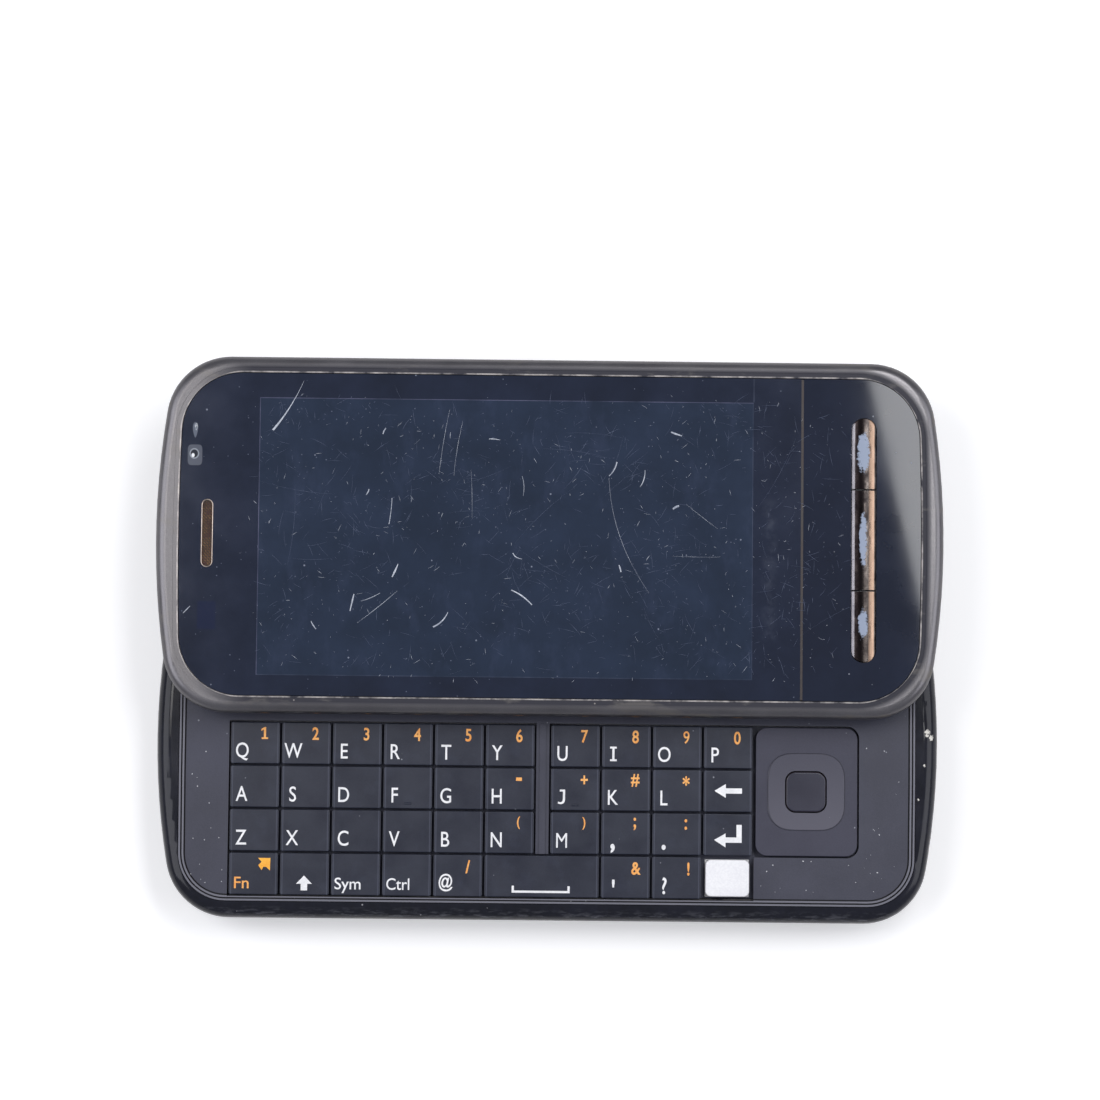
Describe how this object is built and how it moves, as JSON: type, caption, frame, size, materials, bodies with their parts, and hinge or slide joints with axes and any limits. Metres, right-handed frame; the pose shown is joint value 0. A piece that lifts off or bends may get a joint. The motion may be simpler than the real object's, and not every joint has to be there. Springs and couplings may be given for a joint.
{
  "type": "slider phone",
  "caption": "Side-sliding mobile phone, opened: touch display on the slider, letter keyboard with square navigation pad on the base.",
  "frame": {"origin": "centre of the base's flat back face", "axes": "+Z out of the display, +X along the long side towards the front keys, +Y the way the slider opens"},
  "size_m": [0.113, 0.0805, 0.0168],
  "materials": {
    "gloss_housing": "high gloss, scuffed",
    "matte_deck": "fine matte",
    "key_plastic": "satin",
    "white_silicone": "matte",
    "circuit_board": "solder mask",
    "battery_can": "wrapped can",
    "painted_cover": "satin",
    "bright_steel": "bright",
    "camera_trim": "gloss with metal ring",
    "satin_bezel": "satin, worn at the edges",
    "touch_window": "gloss, scratched",
    "display_glass": "gloss",
    "worn_chrome": "dark, worn through"
  },
  "bodies": {
    "base": {"base_frame": "gloss_housing", "keypad_deck": "matte_deck", "keypad_mat": "white_silicone", "main_board": "circuit_board", "battery": "battery_can", "battery_cover": "painted_cover", "screws": "bright_steel", "rear_camera": "camera_trim", "slide_rails": "bright_steel"},
    "slider": {"slider_bezel": "satin_bezel", "slider_rear_cover": "matte_deck", "touch_window": "touch_window", "key_plate": "touch_window", "display_module": "display_glass"},
    "key_q": {"key_q": "key_plastic"},
    "key_w": {"key_w": "key_plastic"},
    "key_e": {"key_e": "key_plastic"},
    "key_r": {"key_r": "key_plastic"},
    "key_t": {"key_t": "key_plastic"},
    "key_y": {"key_y": "key_plastic"},
    "key_u": {"key_u": "key_plastic"},
    "key_i": {"key_i": "key_plastic"},
    "key_o": {"key_o": "key_plastic"},
    "key_p": {"key_p": "key_plastic"},
    "key_a": {"key_a": "key_plastic"},
    "key_s": {"key_s": "key_plastic"},
    "key_d": {"key_d": "key_plastic"},
    "key_f": {"key_f": "key_plastic"},
    "key_g": {"key_g": "key_plastic"},
    "key_h": {"key_h": "key_plastic"},
    "key_j": {"key_j": "key_plastic"},
    "key_k": {"key_k": "key_plastic"},
    "key_l": {"key_l": "key_plastic"},
    "key_backspace": {"key_backspace": "key_plastic"},
    "key_z": {"key_z": "key_plastic"},
    "key_x": {"key_x": "key_plastic"},
    "key_c": {"key_c": "key_plastic"},
    "key_v": {"key_v": "key_plastic"},
    "key_b": {"key_b": "key_plastic"},
    "key_n": {"key_n": "key_plastic"},
    "key_m": {"key_m": "key_plastic"},
    "key_comma": {"key_comma": "key_plastic"},
    "key_period": {"key_period": "key_plastic"},
    "key_enter": {"key_enter": "key_plastic"},
    "key_fn": {"key_fn": "key_plastic"},
    "key_shift": {"key_shift": "key_plastic"},
    "key_sym": {"key_sym": "key_plastic"},
    "key_ctrl": {"key_ctrl": "key_plastic"},
    "key_at": {"key_at": "key_plastic"},
    "key_space": {"key_space": "key_plastic"},
    "key_apostrophe": {"key_apostrophe": "key_plastic"},
    "key_question": {"key_question": "key_plastic"},
    "nav_tile": {"nav_tile": "matte_deck"},
    "nav_select": {"nav_select": "key_plastic"},
    "volume_key": {"volume_key": "gloss_housing"},
    "camera_key": {"camera_key": "gloss_housing"},
    "power_key": {"power_key": "gloss_housing"},
    "call_key": {"call_key": "worn_chrome"},
    "menu_key": {"menu_key": "worn_chrome"},
    "end_key": {"end_key": "worn_chrome"}
  },
  "joints": [
    {"name": "slider_slide", "type": "slide", "parent": "base", "child": "slider", "axis": [0, 1, 0], "range_m": [-0.0288, 0]},
    {"name": "key_q_press", "type": "slide", "parent": "base", "child": "key_q", "axis": [0, 0, -1], "range_m": [0, 0.0003], "stiffness_N_per_m": 2000},
    {"name": "key_w_press", "type": "slide", "parent": "base", "child": "key_w", "axis": [0, 0, -1], "range_m": [0, 0.0003], "stiffness_N_per_m": 2000},
    {"name": "key_e_press", "type": "slide", "parent": "base", "child": "key_e", "axis": [0, 0, -1], "range_m": [0, 0.0003], "stiffness_N_per_m": 2000},
    {"name": "key_r_press", "type": "slide", "parent": "base", "child": "key_r", "axis": [0, 0, -1], "range_m": [0, 0.0003], "stiffness_N_per_m": 2000},
    {"name": "key_t_press", "type": "slide", "parent": "base", "child": "key_t", "axis": [0, 0, -1], "range_m": [0, 0.0003], "stiffness_N_per_m": 2000},
    {"name": "key_y_press", "type": "slide", "parent": "base", "child": "key_y", "axis": [0, 0, -1], "range_m": [0, 0.0003], "stiffness_N_per_m": 2000},
    {"name": "key_u_press", "type": "slide", "parent": "base", "child": "key_u", "axis": [0, 0, -1], "range_m": [0, 0.0003], "stiffness_N_per_m": 2000},
    {"name": "key_i_press", "type": "slide", "parent": "base", "child": "key_i", "axis": [0, 0, -1], "range_m": [0, 0.0003], "stiffness_N_per_m": 2000},
    {"name": "key_o_press", "type": "slide", "parent": "base", "child": "key_o", "axis": [0, 0, -1], "range_m": [0, 0.0003], "stiffness_N_per_m": 2000},
    {"name": "key_p_press", "type": "slide", "parent": "base", "child": "key_p", "axis": [0, 0, -1], "range_m": [0, 0.0003], "stiffness_N_per_m": 2000},
    {"name": "key_a_press", "type": "slide", "parent": "base", "child": "key_a", "axis": [0, 0, -1], "range_m": [0, 0.0003], "stiffness_N_per_m": 2000},
    {"name": "key_s_press", "type": "slide", "parent": "base", "child": "key_s", "axis": [0, 0, -1], "range_m": [0, 0.0003], "stiffness_N_per_m": 2000},
    {"name": "key_d_press", "type": "slide", "parent": "base", "child": "key_d", "axis": [0, 0, -1], "range_m": [0, 0.0003], "stiffness_N_per_m": 2000},
    {"name": "key_f_press", "type": "slide", "parent": "base", "child": "key_f", "axis": [0, 0, -1], "range_m": [0, 0.0003], "stiffness_N_per_m": 2000},
    {"name": "key_g_press", "type": "slide", "parent": "base", "child": "key_g", "axis": [0, 0, -1], "range_m": [0, 0.0003], "stiffness_N_per_m": 2000},
    {"name": "key_h_press", "type": "slide", "parent": "base", "child": "key_h", "axis": [0, 0, -1], "range_m": [0, 0.0003], "stiffness_N_per_m": 2000},
    {"name": "key_j_press", "type": "slide", "parent": "base", "child": "key_j", "axis": [0, 0, -1], "range_m": [0, 0.0003], "stiffness_N_per_m": 2000},
    {"name": "key_k_press", "type": "slide", "parent": "base", "child": "key_k", "axis": [0, 0, -1], "range_m": [0, 0.0003], "stiffness_N_per_m": 2000},
    {"name": "key_l_press", "type": "slide", "parent": "base", "child": "key_l", "axis": [0, 0, -1], "range_m": [0, 0.0003], "stiffness_N_per_m": 2000},
    {"name": "key_backspace_press", "type": "slide", "parent": "base", "child": "key_backspace", "axis": [0, 0, -1], "range_m": [0, 0.0003], "stiffness_N_per_m": 2000},
    {"name": "key_z_press", "type": "slide", "parent": "base", "child": "key_z", "axis": [0, 0, -1], "range_m": [0, 0.0003], "stiffness_N_per_m": 2000},
    {"name": "key_x_press", "type": "slide", "parent": "base", "child": "key_x", "axis": [0, 0, -1], "range_m": [0, 0.0003], "stiffness_N_per_m": 2000},
    {"name": "key_c_press", "type": "slide", "parent": "base", "child": "key_c", "axis": [0, 0, -1], "range_m": [0, 0.0003], "stiffness_N_per_m": 2000},
    {"name": "key_v_press", "type": "slide", "parent": "base", "child": "key_v", "axis": [0, 0, -1], "range_m": [0, 0.0003], "stiffness_N_per_m": 2000},
    {"name": "key_b_press", "type": "slide", "parent": "base", "child": "key_b", "axis": [0, 0, -1], "range_m": [0, 0.0003], "stiffness_N_per_m": 2000},
    {"name": "key_n_press", "type": "slide", "parent": "base", "child": "key_n", "axis": [0, 0, -1], "range_m": [0, 0.0003], "stiffness_N_per_m": 2000},
    {"name": "key_m_press", "type": "slide", "parent": "base", "child": "key_m", "axis": [0, 0, -1], "range_m": [0, 0.0003], "stiffness_N_per_m": 2000},
    {"name": "key_comma_press", "type": "slide", "parent": "base", "child": "key_comma", "axis": [0, 0, -1], "range_m": [0, 0.0003], "stiffness_N_per_m": 2000},
    {"name": "key_period_press", "type": "slide", "parent": "base", "child": "key_period", "axis": [0, 0, -1], "range_m": [0, 0.0003], "stiffness_N_per_m": 2000},
    {"name": "key_enter_press", "type": "slide", "parent": "base", "child": "key_enter", "axis": [0, 0, -1], "range_m": [0, 0.0003], "stiffness_N_per_m": 2000},
    {"name": "key_fn_press", "type": "slide", "parent": "base", "child": "key_fn", "axis": [0, 0, -1], "range_m": [0, 0.0003], "stiffness_N_per_m": 2000},
    {"name": "key_shift_press", "type": "slide", "parent": "base", "child": "key_shift", "axis": [0, 0, -1], "range_m": [0, 0.0003], "stiffness_N_per_m": 2000},
    {"name": "key_sym_press", "type": "slide", "parent": "base", "child": "key_sym", "axis": [0, 0, -1], "range_m": [0, 0.0003], "stiffness_N_per_m": 2000},
    {"name": "key_ctrl_press", "type": "slide", "parent": "base", "child": "key_ctrl", "axis": [0, 0, -1], "range_m": [0, 0.0003], "stiffness_N_per_m": 2000},
    {"name": "key_at_press", "type": "slide", "parent": "base", "child": "key_at", "axis": [0, 0, -1], "range_m": [0, 0.0003], "stiffness_N_per_m": 2000},
    {"name": "key_space_press", "type": "slide", "parent": "base", "child": "key_space", "axis": [0, 0, -1], "range_m": [0, 0.0003], "stiffness_N_per_m": 2000},
    {"name": "key_apostrophe_press", "type": "slide", "parent": "base", "child": "key_apostrophe", "axis": [0, 0, -1], "range_m": [0, 0.0003], "stiffness_N_per_m": 2000},
    {"name": "key_question_press", "type": "slide", "parent": "base", "child": "key_question", "axis": [0, 0, -1], "range_m": [0, 0.0003], "stiffness_N_per_m": 2000},
    {"name": "nav_tile_rock", "type": "hinge", "parent": "base", "child": "nav_tile", "pos_m": [0.03732, -0.00719, 0.009], "axis": [1, 0, 0], "range_deg": [-1.2, 1.2], "stiffness_Nm_per_rad": 0.3},
    {"name": "nav_select_press", "type": "slide", "parent": "nav_tile", "child": "nav_select", "axis": [0, 0, -1], "range_m": [0, 0.00025], "stiffness_N_per_m": 2000},
    {"name": "volume_key_rock", "type": "hinge", "parent": "base", "child": "volume_key", "pos_m": [-0.031, 0.02385, 0.0056], "axis": [0, 0, 1], "range_deg": [-1.6, 1.6], "stiffness_Nm_per_rad": 0.3},
    {"name": "camera_key_press", "type": "slide", "parent": "base", "child": "camera_key", "axis": [0, -1, 0], "range_m": [0, 0.0005], "stiffness_N_per_m": 2000},
    {"name": "power_key_press", "type": "slide", "parent": "base", "child": "power_key", "axis": [1, 0, 0], "range_m": [0, 0.0004], "stiffness_N_per_m": 2000},
    {"name": "call_key_press", "type": "slide", "parent": "slider", "child": "call_key", "axis": [0, 0, -1], "range_m": [0, 0.00025], "stiffness_N_per_m": 2000},
    {"name": "menu_key_press", "type": "slide", "parent": "slider", "child": "menu_key", "axis": [0, 0, -1], "range_m": [0, 0.00025], "stiffness_N_per_m": 2000},
    {"name": "end_key_press", "type": "slide", "parent": "slider", "child": "end_key", "axis": [0, 0, -1], "range_m": [0, 0.00025], "stiffness_N_per_m": 2000}
  ]
}
